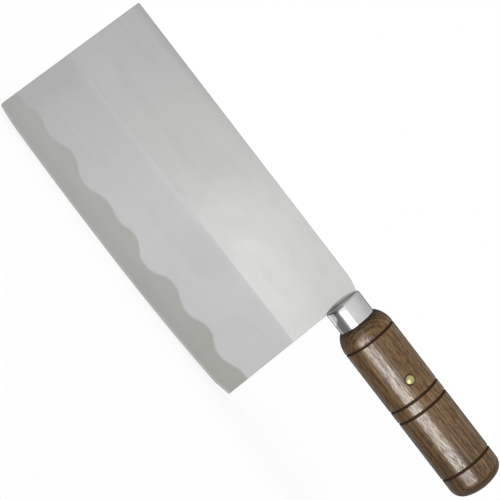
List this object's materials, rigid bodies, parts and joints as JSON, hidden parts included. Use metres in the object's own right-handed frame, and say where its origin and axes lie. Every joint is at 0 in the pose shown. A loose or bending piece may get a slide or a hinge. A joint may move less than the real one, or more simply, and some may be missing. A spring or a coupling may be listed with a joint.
{
  "type": "chinese cleaver",
  "caption": "Chinese cleaver: a tall flat steel blade whose hidden tang runs through a chromed ferrule into a round turned wooden handle held by a domed brass pin.",
  "frame": {"origin": "on the board's surface, under the middle of the whole knife: level with the lowest point of the edge, halfway along the knife and in the middle of the blade's thickness", "axes": "+X from the blade's front end towards the handle's butt, parallel to the handle's axis; +Y through the blade's thickness; +Z from the edge up to the spine"},
  "size_m": [0.3504, 0.0342, 0.1066],
  "materials": {
    "blade_steel": "satin, finely brushed along the blade, with a matt wavy band along the edge",
    "ferrule_chrome": "polished",
    "handle_wood": "lacquered open grain, burnt dark in the grooves",
    "pin_brass": "polished",
    "bedding_resin": "cast resin, out of sight"
  },
  "bodies": {
    "root": {"blade": "blade_steel", "ferrule": "ferrule_chrome", "handle": "handle_wood", "handle_pin": "pin_brass", "tang_bedding": "bedding_resin"}
  },
  "joints": []
}
